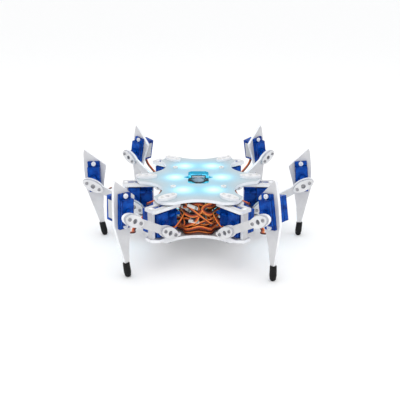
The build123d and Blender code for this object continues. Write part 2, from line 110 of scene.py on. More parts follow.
# ---------------------------------------------------------------- mesh helpers
def islands(mesh):
    """The polygon numbers of each loose piece, and the places of all vertices.

    Vertices at the same place count as one, so faces that only touch there belong together.
    """
    co = np.array([v.co for v in mesh.vertices]).reshape(-1, 3)
    keys = [tuple(k) for k in np.round(co * 1e6).astype(int).tolist()]
    parent = {k: k for k in keys}

    def root(k):
        while parent[k] != k:
            parent[k] = parent[parent[k]]
            k = parent[k]
        return k

    for polygon in mesh.polygons:
        first = root(keys[polygon.vertices[0]])
        for v in polygon.vertices[1:]:
            parent[root(keys[v])] = first
    pieces = {}
    for polygon in mesh.polygons:
        pieces.setdefault(root(keys[polygon.vertices[0]]), []).append(polygon.index)
    return list(pieces.values()), co


def vertices_of(mesh, piece):
    return sorted({v for p in piece for v in mesh.polygons[p].vertices})


def extent(mesh, co, piece):
    """Length and middle of one loose piece."""
    points = co[vertices_of(mesh, piece)]
    centre = (points.min(0) + points.max(0)) / 2
    return 2 * np.linalg.norm(points - centre, axis=1).max(), Vector(centre.tolist())


def broad_normal(mesh, piece):
    """The direction that most of a loose piece's area faces, front and back together."""
    sums = []
    for p in piece:
        polygon = mesh.polygons[p]
        for entry in sums:
            if abs(polygon.normal.dot(entry[1])) > 0.995:
                entry[0] += polygon.area
                break
        else:
            sums.append([polygon.area, polygon.normal.copy()])
    return max(sums, key=lambda entry: entry[0])[1]


def faces_along(polygon, direction):
    return abs(polygon.normal.dot(direction)) > 0.9


def give(obj, *materials):
    obj.data.materials.clear()
    for material in materials:
        obj.data.materials.append(material)


def paint_sheet(node, face, edge):
    """Sheet parts: one material on the broad faces and another on the cut edges, whose lighter colour
    is a painted highlight.
    """
    obj = nodes[node]
    give(obj, face, edge)
    pieces, _ = islands(obj.data)
    for piece in pieces:
        normal = broad_normal(obj.data, piece)
        for p in piece:
            polygon = obj.data.polygons[p]
            polygon.material_index = 0 if faces_along(polygon, normal) else 1


def new_object(name, mesh, *materials):
    obj = bpy.data.objects.new(name, mesh)
    bpy.context.scene.collection.objects.link(obj)
    for material in materials:
        mesh.materials.append(material)
    return obj


def smooth_path(points, step=0.7 * MM):
    """Catmull-Rom curve through the points, sampled about every step."""
    pts = [Vector(p) for p in points]
    ends = [2 * pts[0] - pts[1]] + pts + [2 * pts[-1] - pts[-2]]
    made = []
    for a, b, c, d in zip(ends, ends[1:], ends[2:], ends[3:]):
        count = max(2, int((c - b).length / step))
        first, second, third = c - a, 2 * a - 5 * b + 4 * c - d, 3 * b - a - 3 * c + d
        for i in range(count):
            t = i / count
            made.append(0.5 * (2 * b + first * t + second * t * t + third * t * t * t))
    made.append(pts[-1])
    return made


def transported(path, first_side):
    """Tangent and sideways direction at each point of a path, without needless twist."""
    frames = []
    side = Vector(first_side)
    for i in range(len(path)):
        tangent = (path[min(i + 1, len(path) - 1)] - path[max(i - 1, 0)]).normalized()
        side = side - tangent * side.dot(tangent)
        if side.length < 1e-6:
            side = tangent.orthogonal()
        side.normalize()
        frames.append((tangent, side.copy()))
    return frames


def add_tube(verts, faces, marks, path, frames, radius, mark, sides=8):
    """Adds one closed round wire along a path to the lists; mark is its material number."""
    start = len(verts)
    for point, (tangent, side) in zip(path, frames):
        across = tangent.cross(side)
        for k in range(sides):
            a = 2 * math.pi * k / sides
            verts.append(point + radius * (math.cos(a) * side + math.sin(a) * across))
    for i in range(len(path) - 1):
        for k in range(sides):
            a = start + i * sides + k
            b = start + i * sides + (k + 1) % sides
            faces.append((a, b, b + sides, a + sides))
            marks.append(mark)
    faces.append(tuple(start + k for k in reversed(range(sides))))
    faces.append(tuple(start + (len(path) - 1) * sides + k for k in range(sides)))
    marks += [mark, mark]


def mesh_from(name, verts, faces, marks):
    """Smooth-shaded mesh whose polygons take the material numbers in marks."""
    mesh = bpy.data.meshes.new(name)
    mesh.from_pydata([tuple(v) for v in verts], [], faces)
    for polygon, mark in zip(mesh.polygons, marks):
        polygon.material_index = mark
        polygon.use_smooth = True
    mesh.update()
    return mesh


WIRE = 0.6 * MM
WIRE_STEP = 1.16 * MM


def ribbon(name, points, materials, first_side=(0, 0, 1), twist=0.0, keep_clear=None):
    """A flat servo lead: wires side by side along one smooth path."""
    path = smooth_path(points)
    if keep_clear:
        path = [keep_clear(point) for point in path]
    frames = transported(path, first_side)
    verts, faces, marks = [], [], []
    for number in range(len(materials)):
        shift = (number - (len(materials) - 1) / 2) * WIRE_STEP
        line, turned = [], []
        for i, (point, (tangent, side)) in enumerate(zip(path, frames)):
            spun = Matrix.Rotation(twist * i / len(path), 3, tangent) @ side
            line.append(point + spun * shift)
            turned.append((tangent, spun))
        add_tube(verts, faces, marks, line, turned, WIRE, number)
    return new_object(name, mesh_from(name, verts, faces, marks), *materials)


def bevelled_block(name, size, round_by, segments=2):
    """Mesh of a block in millimetres with rounded edges, centred on its own origin."""
    mesh = bpy.data.meshes.new(name)
    bm = bmesh.new()
    bmesh.ops.create_cube(bm, size=1)
    bmesh.ops.scale(bm, vec=[s * MM for s in size], verts=bm.verts)
    bmesh.ops.bevel(
        bm, geom=bm.edges[:], offset=round_by * MM, segments=segments, affect="EDGES", profile=0.5
    )
    bm.to_mesh(mesh)
    bm.free()
    for polygon in mesh.polygons:
        polygon.use_smooth = True
    return mesh


def turned_mesh(name, profile, sides=40):
    """Mesh of a profile of (radius, height) in millimetres turned about +Z."""
    verts, faces = [], []
    for r, z in profile:
        for k in range(sides):
            a = 2 * math.pi * k / sides
            verts.append((r * MM * math.cos(a), r * MM * math.sin(a), z * MM))
    for i in range(len(profile) - 1):
        for k in range(sides):
            a, b = i * sides + k, i * sides + (k + 1) % sides
            faces.append((a, b, b + sides, a + sides))
    faces.append(tuple(reversed(range(sides))))
    faces.append(tuple((len(profile) - 1) * sides + k for k in range(sides)))
    return mesh_from(name, verts, faces, [0] * len(faces))


def join(name, parts):
    """One object made of several, keeping their materials; the parts are removed."""
    materials, bm = [], bmesh.new()
    for part in parts:
        base = []
        for material in part.data.materials:
            if material not in materials:
                materials.append(material)
            base.append(materials.index(material))
        copy = part.data.copy()
        copy.transform(part.matrix_world)
        for polygon in copy.polygons:
            polygon.material_index = base[polygon.material_index]
        bm.from_mesh(copy)
        bpy.data.meshes.remove(copy)
    mesh = bpy.data.meshes.new(name)
    bm.to_mesh(mesh)
    bm.free()
    for part in parts:
        old = part.data
        bpy.data.objects.remove(part)
        bpy.data.meshes.remove(old)
    return new_object(name, mesh, *materials)


def place(obj, point, x_axis, z_axis):
    """Puts obj at the point with its own z along z_axis and its own x near x_axis."""
    z = Vector(z_axis).normalized()
    x = Vector(x_axis)
    x = (x - z * x.dot(z)).normalized()
    y = z.cross(x)
    obj.matrix_world = Matrix.Translation(point) @ Matrix((x, y, z)).transposed().to_4x4()
    return obj


# ---------------------------------------------------------------- shader helpers
def new_material(name):
    material = bpy.data.materials.new(name)
    material.use_nodes = True
    tree = material.node_tree
    tree.nodes.clear()
    out = tree.nodes.new("ShaderNodeOutputMaterial")
    shader = tree.nodes.new("ShaderNodeBsdfPrincipled")
    tree.links.new(shader.outputs[0], out.inputs[0])
    return material, tree, shader


def node_of(tree, kind):
    return next(node for node in tree.nodes if node.type == kind)


def coordinates(tree):
    return tree.nodes.new("ShaderNodeTexCoord").outputs["Object"]


def noise(tree, vector, scale, detail=4.0, rough=0.55):
    node = tree.nodes.new("ShaderNodeTexNoise")
    node.inputs["Scale"].default_value = scale
    node.inputs["Detail"].default_value = detail
    node.inputs["Roughness"].default_value = rough
    tree.links.new(vector, node.inputs["Vector"])
    return node.outputs["Fac"]


def ramp(tree, value, *stops):
    """Colours by (position, colour) stops."""
    node = tree.nodes.new("ShaderNodeValToRGB")
    for element, (position, colour) in zip(node.color_ramp.elements, stops):
        element.position = position
        element.color = (*colour, 1.0)
    tree.links.new(value, node.inputs["Fac"])
    return node.outputs["Color"]


NOISE_LOW, NOISE_HIGH = 0.3, 0.7  # nearly all of a noise texture's values lie between these


def clouded(tree, value, dark, light):
    """From one colour to another over the range of a noise."""
    return ramp(tree, value, (NOISE_LOW, dark), (NOISE_HIGH, light))


def span(tree, value, low, high, from_low=NOISE_LOW, from_high=NOISE_HIGH):
    """A number from low to high over the range of a noise."""
    node = tree.nodes.new("ShaderNodeMapRange")
    node.inputs["From Min"].default_value = from_low
    node.inputs["From Max"].default_value = from_high
    node.inputs["To Min"].default_value = low
    node.inputs["To Max"].default_value = high
    tree.links.new(value, node.inputs["Value"])
    return node.outputs["Result"]


def math_node(tree, operation, *values):
    node = tree.nodes.new("ShaderNodeMath")
    node.operation = operation
    for socket, value in zip(node.inputs, values):
        if isinstance(value, (int, float)):
            socket.default_value = value
        else:
            tree.links.new(value, socket)
    return node.outputs[0]


def mix(tree, factor, a, b):
    node = tree.nodes.new("ShaderNodeMix")
    node.data_type = "RGBA"
    tree.links.new(factor, node.inputs["Factor"])
    for socket, value in ((node.inputs[6], a), (node.inputs[7], b)):
        if isinstance(value, tuple):
            socket.default_value = (*value, 1.0)
        else:
            tree.links.new(value, socket)
    return node.outputs[2]


def bump(tree, shader, height, strength, distance, rounding=0.0):
    """Relief on the shader's normal, over edges softened by the rounding radius."""
    node = tree.nodes.new("ShaderNodeBump")
    node.inputs["Strength"].default_value = strength
    node.inputs["Distance"].default_value = distance
    tree.links.new(height, node.inputs["Height"])
    if rounding:
        edge = tree.nodes.new("ShaderNodeBevel")
        edge.samples = 4
        edge.inputs["Radius"].default_value = rounding
        tree.links.new(edge.outputs["Normal"], node.inputs["Normal"])
    tree.links.new(node.outputs["Normal"], shader.inputs["Normal"])


def edge_mask(tree, radius, gain):
    """1 on sharp outer edges and 0 on flats."""
    edge = tree.nodes.new("ShaderNodeBevel")
    edge.samples = 6
    edge.inputs["Radius"].default_value = radius
    geometry = tree.nodes.new("ShaderNodeNewGeometry")
    dot = tree.nodes.new("ShaderNodeVectorMath")
    dot.operation = "DOT_PRODUCT"
    tree.links.new(edge.outputs["Normal"], dot.inputs[0])
    tree.links.new(geometry.outputs["True Normal"], dot.inputs[1])
    return span(tree, dot.outputs["Value"], 0.0, 1.0, 1.0, 1.0 - gain)


def emission(tree, colour, amount, strength):
    node = tree.nodes.new("ShaderNodeEmission")
    node.inputs["Color"].default_value = (*colour, 1.0)
    tree.links.new(math_node(tree, "MULTIPLY", amount, strength), node.inputs["Strength"])
    return node.outputs[0]


def add_shaders(tree, first, second):
    node = tree.nodes.new("ShaderNodeAddShader")
    tree.links.new(first, node.inputs[0])
    tree.links.new(second, node.inputs[1])
    return node.outputs[0]


# ---------------------------------------------------------------- materials
def plastic(name, dark, light, rough=(0.35, 0.5), scale=900.0, relief=0.15, rounding=0.15 * MM):
    """Moulded or cut plastic: cloudy colour, uneven gloss, fine relief, softened edges."""
    material, tree, shader = new_material(name)
    where = coordinates(tree)
    cloud = noise(tree, where, scale * 0.12)
    grain = noise(tree, where, scale, detail=3.0)
    colour = ramp(tree, cloud, (0.35, dark), (0.65, light))
    tree.links.new(colour, shader.inputs["Base Color"])
    tree.links.new(span(tree, grain, *rough), shader.inputs["Roughness"])
    bump(tree, shader, grain, relief, 0.05 * MM, rounding)
    return material


def acrylic(name, dark, light):
    """Broad face of the frosted sheet: light spreads a little way inside it."""
    material = plastic(name, dark, light, (0.36, 0.52), 700.0, relief=0.12, rounding=0.25 * MM)
    shader = node_of(material.node_tree, "BSDF_PRINCIPLED")
    shader.inputs["Subsurface Weight"].default_value = 0.2
    shader.inputs["Subsurface Radius"].default_value = (1.0, 1.0, 1.0)
    shader.inputs["Subsurface Scale"].default_value = 1.5 * MM
    return material


def laser_edge(name, dark, light):
    """Cut edge of the sheet, with the fine lines a laser leaves."""
    material, tree, shader = new_material(name)
    where = coordinates(tree)
    lines = noise(tree, where, 2600.0, detail=2.0)
    cloud = noise(tree, where, 180.0)
    tree.links.new(clouded(tree, cloud, dark, light), shader.inputs["Base Color"])
    tree.links.new(span(tree, lines, 0.18, 0.4), shader.inputs["Roughness"])
    bump(tree, shader, lines, 0.25, 0.05 * MM, 0.2 * MM)
    return material


def metal(name, dark, light):
    material, tree, shader = new_material(name)
    where = coordinates(tree)
    grain = noise(tree, where, 1500.0)
    tree.links.new(clouded(tree, grain, dark, light), shader.inputs["Base Color"])
    tree.links.new(span(tree, grain, 0.22, 0.4), shader.inputs["Roughness"])
    shader.inputs["Metallic"].default_value = 0.85
    bump(tree, shader, grain, 0.1, 0.03 * MM, 0.1 * MM)
    return material


def wire_cover(name, dark, light, rough):
    return plastic(name, dark, light, rough, scale=500.0)


acrylic_face = acrylic("acrylic_face", (0.58, 0.58, 0.595), (0.65, 0.65, 0.662))
# Painted highlight: the cut edges get a much lighter colour than the faces of the same sheet.
acrylic_cut_highlight = laser_edge("acrylic_cut_highlight", (0.80, 0.81, 0.84), (0.92, 0.93, 0.95))
# Painted shade: the femur covers' cut edges are much darker than the covers' faces.
cover_cut_shade = laser_edge("cover_cut_shade", (0.36, 0.37, 0.41), (0.56, 0.57, 0.62))
cover_face = acrylic("cover_face", (0.70, 0.70, 0.715), (0.77, 0.77, 0.78))
nylon = plastic("nylon", (0.74, 0.74, 0.73), (0.82, 0.82, 0.81))
steel = metal("steel", (0.20, 0.20, 0.22), (0.48, 0.48, 0.50))
ear_screw = plastic("ear_screw", (0.78, 0.80, 0.84), (0.93, 0.94, 0.96), rough=(0.2, 0.35))
black_plastic = plastic("black_plastic", (0.012, 0.012, 0.014), (0.03, 0.03, 0.034))
white_plug = plastic("white_plug", (0.70, 0.68, 0.64), (0.86, 0.84, 0.80), rough=(0.3, 0.45))
wire_orange = wire_cover("wire_orange", (0.84, 0.155, 0.014), (1.0, 0.34, 0.07), (0.22, 0.36))
wire_red = wire_cover("wire_red", (0.34, 0.022, 0.006), (0.60, 0.085, 0.025), (0.24, 0.38))
wire_brown = wire_cover("wire_brown", (0.035, 0.006, 0.004), (0.09, 0.02, 0.010), (0.28, 0.42))
WIRES = [wire_orange, wire_red, wire_brown]
# Painted shade: leads at the back of the bay, under the top plate, are drawn with brown and red wires
# only, darker than a real lead.
SHADED_BACK_WIRES = [wire_brown, wire_red, wire_brown]


def servo_material(name, deep, bright, navy):
    """Tinted servo case: cloudy blue, darker and denser at its edges."""
    material, tree, shader = new_material(name)
    where = coordinates(tree)
    cloud = noise(tree, where, 170.0, detail=5.0, rough=0.6)
    grain = noise(tree, where, 1100.0, detail=3.0)
    body = ramp(tree, cloud, (0.32, deep), (0.68, bright))
    mask = edge_mask(tree, radius=0.9 * MM, gain=0.16)
    tree.links.new(mix(tree, mask, body, navy), shader.inputs["Base Color"])
    tree.links.new(span(tree, grain, 0.16, 0.3), shader.inputs["Roughness"])
    shader.inputs["Specular IOR Level"].default_value = 0.1
    bump(tree, shader, grain, 0.1, 0.05 * MM, 0.25 * MM)
    return material


servo_blue = servo_material(
    "servo_blue", deep=(0.0, 0.022, 0.19), bright=(0.004, 0.095, 0.50), navy=(0.0, 0.003, 0.045)
)


def label_material():
    """Plain pale sticker with faint bands and no print."""
    material, tree, shader = new_material("servo_label")
    where = coordinates(tree)
    band = tree.nodes.new("ShaderNodeTexWave")
    band.inputs["Scale"].default_value = 60.0
    band.inputs["Distortion"].default_value = 1.5
    band.inputs["Detail Scale"].default_value = 3.0
    band.bands_direction = "Z"
    tree.links.new(where, band.inputs["Vector"])
    cloud = noise(tree, where, 260.0)
    lines = ramp(tree, band.outputs["Fac"], (0.86, (0.50, 0.51, 0.52)), (0.93, (0.34, 0.36, 0.40)))
    colour = mix(tree, span(tree, cloud, 0.2, 0.8), lines, (0.55, 0.56, 0.57))
    tree.links.new(colour, shader.inputs["Base Color"])
    shader.inputs["Roughness"].default_value = 0.42
    bump(tree, shader, cloud, 0.1, 0.03 * MM)
    return material


servo_label = label_material()


def rubber_material():
    material, tree, shader = new_material("boot_rubber")
    where = coordinates(tree)
    grain = noise(tree, where, 1400.0, detail=5.0)
    cloud = noise(tree, where, 220.0)
    colour = clouded(tree, cloud, (0.003, 0.003, 0.0035), (0.009, 0.009, 0.010))
    tree.links.new(colour, shader.inputs["Base Color"])
    tree.links.new(span(tree, grain, 0.42, 0.68), shader.inputs["Roughness"])
    shader.inputs["Specular IOR Level"].default_value = 0.2
    bump(tree, shader, grain, 0.35, 0.08 * MM, 0.2 * MM)
    return material


boot_rubber = rubber_material()


def board_material():
    """Teal solder mask with lighter copper runs and tinned pads."""
    material, tree, shader = new_material("board_mask")
    where = coordinates(tree)
    cells = tree.nodes.new("ShaderNodeTexVoronoi")
    cells.feature = "DISTANCE_TO_EDGE"
    cells.inputs["Scale"].default_value = 260.0
    tree.links.new(where, cells.inputs["Vector"])
    from_edge = cells.outputs["Distance"]
    runs = ramp(tree, from_edge, (0.03, (0.03, 0.36, 0.42)), (0.09, (0.012, 0.17, 0.23)))
    pads = tree.nodes.new("ShaderNodeTexVoronoi")
    pads.inputs["Scale"].default_value = 420.0
    pads.inputs["Randomness"].default_value = 0.15
    tree.links.new(where, pads.inputs["Vector"])
    dots = ramp(tree, pads.outputs["Distance"], (0.16, (1, 1, 1)), (0.2, (0, 0, 0)))
    tree.links.new(mix(tree, dots, runs, (0.55, 0.56, 0.50)), shader.inputs["Base Color"])
    shader.inputs["Roughness"].default_value = 0.32
    bump(tree, shader, from_edge, 0.15, 0.05 * MM)
    return material


board_mask = board_material()


def lit_board_material():
    """The teal board right under the window, painted bright: a lighter colour and emission stand in
    for the light of the lamps on it.
    """
    material, tree, shader = new_material("lit_board")
    where = coordinates(tree)
    patches = noise(tree, where, 240.0, rough=0.6)
    grain = noise(tree, where, 1400.0)
    colour = ramp(tree, patches, (0.36, (0.01, 0.16, 0.24)), (0.6, (0.04, 0.42, 0.56)))
    tree.links.new(colour, shader.inputs["Base Color"])
    shine = ramp(tree, patches, (0.36, (0.004, 0.12, 0.19)), (0.6, (0.04, 0.50, 0.68)))
    tree.links.new(shine, shader.inputs["Emission Color"])
    shader.inputs["Emission Strength"].default_value = 0.7
    tree.links.new(span(tree, grain, 0.25, 0.4), shader.inputs["Roughness"])
    bump(tree, shader, patches, 0.2, 0.1 * MM)
    return material


lit_board = lit_board_material()
dome_grey = plastic("dome_grey", (0.10, 0.17, 0.23), (0.22, 0.33, 0.42), (0.18, 0.3), scale=1200.0)
shield_silver = metal("shield_silver", (0.62, 0.60, 0.64), (0.85, 0.82, 0.86))


def battery_material():
    """Dark shrink wrap with soft folds."""
    material, tree, shader = new_material("battery_wrap")
    where = coordinates(tree)
    folds = noise(tree, where, 90.0, detail=5.0)
    grain = noise(tree, where, 900.0)
    # Painted shade: the colour follows the fold relief, darker in the hollows and lighter on the
    # ridges.
    colour = clouded(tree, folds, (0.02, 0.022, 0.03), (0.06, 0.065, 0.08))
    tree.links.new(colour, shader.inputs["Base Color"])
    tree.links.new(span(tree, grain, 0.2, 0.35), shader.inputs["Roughness"])
    bump(tree, shader, folds, 0.3, 0.4 * MM, 0.3 * MM)
    return material


battery_wrap = battery_material()

# The lights under the top plate are the loose pieces of the CAD node.
lamp_mesh = nodes["light_modules"].data
lamp_pieces, lamp_co = islands(lamp_mesh)
lamps = [extent(lamp_mesh, lamp_co, piece)[1] for piece in lamp_pieces]
LAMP_CORE = 8.0 * MM
LAMP_HALO = 17.0 * MM
CORE_COLOUR = (0.72, 0.97, 1.0)
HALO_COLOUR = (0.05, 0.62, 0.95)


def lit_plate_material(name, dark, light, lamp_light_tint, core_strength, halo_strength):
    """Frosted sheet lit from below, painted: each lamp gives an emitted white core and a wide cyan
    halo, and the base colour turns cyan near it as painted light.
    """
    material, tree, shader = new_material(name)
    where = coordinates(tree)
    flat = tree.nodes.new("ShaderNodeVectorMath")
    flat.operation = "MULTIPLY"
    flat.inputs[1].default_value = (1.0, 1.0, 0.0)
    tree.links.new(where, flat.inputs[0])

    def fading(squared, radius):
        return math_node(tree, "EXPONENT", math_node(tree, "MULTIPLY", squared, -1 / radius**2))

    core, halo = None, None
    for lamp in lamps:
        distance = tree.nodes.new("ShaderNodeVectorMath")
        distance.operation = "DISTANCE"
        distance.inputs[1].default_value = (lamp.x, lamp.y, 0.0)
        tree.links.new(flat.outputs[0], distance.inputs[0])
        squared = math_node(tree, "POWER", distance.outputs["Value"], 2.0)
        near = fading(squared, LAMP_CORE)
        wide = fading(squared, LAMP_HALO)
        core = near if core is None else math_node(tree, "ADD", core, near)
        halo = wide if halo is None else math_node(tree, "ADD", halo, wide)
    cloud = noise(tree, where, 60.0)
    grain = noise(tree, where, 700.0, detail=3.0)
    plain = clouded(tree, cloud, dark, light)
    # Painted light: near each lamp the base colour turns to the cyan tint of the lamps' light.
    lamp_lit_colour = clouded(tree, cloud, lamp_light_tint, tuple(1.1 * part for part in lamp_light_tint))
    reach = span(tree, halo, 0.0, 1.0, from_low=0.0, from_high=1.0)
    tree.links.new(mix(tree, reach, plain, lamp_lit_colour), shader.inputs["Base Color"])
    tree.links.new(span(tree, grain, 0.38, 0.55), shader.inputs["Roughness"])
    bump(tree, shader, grain, 0.1, 0.05 * MM, 0.25 * MM)
    glow = emission(tree, HALO_COLOUR, halo, halo_strength)
    spot = emission(tree, CORE_COLOUR, core, core_strength)
    lit = add_shaders(tree, add_shaders(tree, shader.outputs[0], glow), spot)
    tree.links.new(lit, node_of(tree, "OUTPUT_MATERIAL").inputs[0])
    return material


# Painted light: the top plate's base colour is bluer than the other sheets, standing in for the lamps'
# light spread through it.
lit_face = lit_plate_material(
    "lit_face",
    (0.44, 0.49, 0.52), (0.49, 0.54, 0.57), (0.20, 0.43, 0.54),
    core_strength=0.85,
    halo_strength=0.3,
)
# Painted highlight: the top plate's cut edges are much lighter than its face.
lit_cut = lit_plate_material(
    "lit_cut",
    (0.78, 0.81, 0.84), (0.90, 0.92, 0.95), (0.55, 0.74, 0.82),
    core_strength=0.1,
    halo_strength=0.2,
)
# Painted light: the window's cut edges are coloured teal and given emission, standing in for the light
# of the lamps and the lit board below.
window_cut_glow = lit_plate_material(
    "window_cut_glow",
    (0.03, 0.30, 0.44), (0.06, 0.42, 0.56), (0.03, 0.34, 0.48),
    core_strength=0.0,
    halo_strength=0.35,
)


def lamp_material():
    material, tree, shader = new_material("lamp_lens")
    where = coordinates(tree)
    sparkle = noise(tree, where, 1200.0)
    colour = clouded(tree, sparkle, (0.55, 0.85, 0.95), (0.8, 0.97, 1.0))
    tree.links.new(colour, shader.inputs["Base Color"])
    shine = clouded(tree, sparkle, (0.1, 0.6, 0.9), (0.4, 0.9, 1.0))
    tree.links.new(shine, shader.inputs["Emission Color"])
    shader.inputs["Emission Strength"].default_value = 2.0
    shader.inputs["Roughness"].default_value = 0.2
    return material


lamp_lens = lamp_material()

# ---------------------------------------------------------------- finishes of the CAD nodes
# Cut edges of the top plate this near to the body's middle belong to the window and take its painted
# teal glow.
WINDOW_REACH_X = 16 * MM
WINDOW_REACH_Y = 21 * MM
# Loose pieces that share a node are told apart by length: these kinds are shorter than this.
EAR_SCREW_LENGTH = 10 * MM
COVER_SCREW_LENGTH = 9 * MM
HORN_LENGTH = 19 * MM

paint_sheet("top_plate", lit_face, lit_cut)
top_plate = nodes["top_plate"]
top_plate.data.materials.append(window_cut_glow)
for polygon in top_plate.data.polygons:
    from_middle = polygon.center - BODY
    by_window = abs(from_middle.x) < WINDOW_REACH_X and abs(from_middle.y) < WINDOW_REACH_Y
    if polygon.material_index == 1 and by_window:
        polygon.material_index = 2
paint_sheet("bottom_plate", acrylic_face, acrylic_cut_highlight)
paint_sheet("hip_covers", cover_face, acrylic_cut_highlight)
for node, finish in {
    "body_pillars": nylon,
    "hip_horns": nylon,
    "body_screws": nylon,
    "pivot_bolts": steel,
    "control_board": board_mask,
    "board_parts": black_plastic,
    "light_modules": lamp_lens,
    "battery_pack": battery_wrap,
}.items():
    give(nodes[node], finish)


def paint_knee_servo(servo):
    give(servo, servo_blue, ear_screw)
    pieces, co = islands(servo.data)
    for piece in pieces:
        small = extent(servo.data, co, piece)[0] < EAR_SCREW_LENGTH
        for p in piece:
            servo.data.polygons[p].material_index = 1 if small else 0


def paint_femur_horns(horns):
    """Steel screws, nylon horns and the sheet covers over them."""
    # The covers' cut edges take a much darker colour than their faces, as painted shade.
    give(horns, steel, nylon, cover_face, cover_cut_shade)
    pieces, co = islands(horns.data)
    for piece in pieces:
        size = extent(horns.data, co, piece)[0]
        normal = broad_normal(horns.data, piece)
        for p in piece:
            polygon = horns.data.polygons[p]
            if size < COVER_SCREW_LENGTH:
                polygon.material_index = 0
            elif size < HORN_LENGTH:
                polygon.material_index = 1
            else:
                polygon.material_index = 2 if faces_along(polygon, normal) else 3


for name in LEGS:
    for sheet in ("hip_cradle", "femur_link", "shin_plate"):
        paint_sheet(f"{name}_{sheet}", acrylic_face, acrylic_cut_highlight)
    give(nodes[name + "_swing_servo"], servo_blue)
    give(nodes[name + "_lift_servo"], servo_blue)
    give(nodes[name + "_foot"], boot_rubber)
    paint_knee_servo(nodes[name + "_knee_servo"])
    paint_femur_horns(nodes[name + "_femur_horns"])


# ---------------------------------------------------------------- wiring in the front bay
loom_low, loom_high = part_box("wiring_loom")
BAY_WIDTH = 54 * MM
BAY_MARGIN = 1.6 * MM
HIP_SWEEP = 16.0 * MM


def bay(u, v, w):
    """A place in the bay: u from left to right, v from front to back, w from bottom to top."""
    height = PLATE_LOW - FLOOR_PLATE_TOP - 2 * BAY_MARGIN
    return Vector(
        (
            BODY.x + (u - 0.5) * BAY_WIDTH,
            loom_low.y + v * (loom_high.y - loom_low.y),
            FLOOR_PLATE_TOP + BAY_MARGIN + w * height,
        )
    )


def clear_of_hips(point):
    """Moves a place back until it is outside the circles that the turning front hips sweep."""
    for name in ("front_left", "front_right"):
        hip = legs[name].hip
        aside = point.x - hip.x
        if abs(aside) < HIP_SWEEP:
            behind = hip.y + math.sqrt(HIP_SWEEP**2 - aside**2)
            point = Vector((point.x, max(point.y, behind), point.z))
    return point


# The direction across a flat lead where it starts.
ACROSS_X, ACROSS_Y, ACROSS_Z = (1, 0, 0), (0, 1, 0), (0, 0, 1)

# Each lead's places in the bay, its first direction across, and its twist in radians.
FRONT_LEADS = [
    (
        [
            (0.90, 0.5, 0.55), (0.93, 0.15, 0.75), (0.82, 0.05, 0.93), (0.66, 0.1, 0.9),
            (0.58, 0.15, 0.75), (0.68, 0.1, 0.62), (0.84, 0.2, 0.66), (0.88, 0.6, 0.5),
        ],
        ACROSS_Z,
        0.4,
    ),
    (
        [
            (0.24, 0.7, 0.95), (0.28, 0.2, 0.9), (0.42, 0.05, 0.72), (0.58, 0.02, 0.5),
            (0.74, 0.05, 0.3), (0.9, 0.15, 0.2), (0.95, 0.7, 0.25),
        ],
        ACROSS_Z,
        0.5,
    ),
    (
        [
            (0.1, 0.8, 0.5), (0.1, 0.3, 0.62), (0.2, 0.08, 0.5), (0.26, 0.05, 0.3),
            (0.16, 0.1, 0.12), (0.08, 0.3, 0.1), (0.1, 0.9, 0.15),
        ],
        ACROSS_X,
        0.6,
    ),
    (
        [
            (0.08, 0.9, 0.05), (0.14, 0.25, 0.06), (0.34, 0.05, 0.12), (0.52, 0.03, 0.2),
            (0.7, 0.05, 0.12), (0.9, 0.2, 0.04), (0.94, 0.8, 0.08),
        ],
        ACROSS_Z,
        0.3,
    ),
    (
        [
            (0.12, 0.9, 0.9), (0.14, 0.4, 0.86), (0.24, 0.15, 0.68), (0.38, 0.1, 0.56),
            (0.5, 0.1, 0.62), (0.6, 0.3, 0.85), (0.6, 0.9, 0.95),
        ],
        ACROSS_Z,
        -0.5,
    ),
    (
        [
            (0.46, 0.9, 0.9), (0.48, 0.3, 0.82), (0.5, 0.12, 0.6), (0.44, 0.1, 0.38),
            (0.3, 0.1, 0.26), (0.2, 0.4, 0.2), (0.18, 0.9, 0.3),
        ],
        ACROSS_X,
        0.8,
    ),
    (
        [
            (0.92, 0.9, 0.4), (0.93, 0.3, 0.44), (0.84, 0.12, 0.5), (0.7, 0.12, 0.42),
            (0.56, 0.15, 0.34), (0.42, 0.2, 0.2), (0.36, 0.8, 0.1),
        ],
        ACROSS_Z,
        0.2,
    ),
    (
        [
            (0.7, 0.9, 0.95), (0.74, 0.4, 0.9), (0.86, 0.2, 0.78), (0.95, 0.2, 0.6),
            (0.93, 0.2, 0.36), (0.8, 0.2, 0.2), (0.6, 0.4, 0.08), (0.5, 0.9, 0.1),
        ],
        ACROSS_Z,
        0.5,
    ),
    (
        [
            (0.05, 0.8, 0.78), (0.1, 0.3, 0.74), (0.3, 0.25, 0.84), (0.5, 0.25, 0.92),
            (0.7, 0.3, 0.8), (0.84, 0.7, 0.85),
        ],
        ACROSS_Z,
        0.3,
    ),
    (
        [
            (0.06, 0.9, 0.36), (0.1, 0.35, 0.34), (0.28, 0.3, 0.42), (0.46, 0.25, 0.3),
            (0.62, 0.25, 0.22), (0.8, 0.4, 0.36), (0.9, 0.9, 0.6),
        ],
        ACROSS_Z,
        0.7,
    ),
    (
        [
            (0.2, 0.9, 0.6), (0.26, 0.45, 0.62), (0.4, 0.4, 0.5), (0.56, 0.4, 0.6),
            (0.7, 0.4, 0.5), (0.86, 0.5, 0.3), (0.9, 0.9, 0.15),
        ],
        ACROSS_Y,
        0.4,
    ),
    (
        [
            (0.3, 0.9, 0.1), (0.36, 0.5, 0.14), (0.52, 0.4, 0.1), (0.68, 0.45, 0.3),
            (0.62, 0.5, 0.6), (0.48, 0.5, 0.8), (0.4, 0.9, 0.9),
        ],
        ACROSS_Y,
        0.4,
    ),
    (
        [
            (0.04, 0.9, 0.2), (0.05, 0.5, 0.5), (0.12, 0.5, 0.8), (0.3, 0.55, 0.92),
            (0.5, 0.6, 0.7), (0.66, 0.6, 0.55), (0.94, 0.8, 0.75),
        ],
        ACROSS_Z,
        0.5,
    ),
]


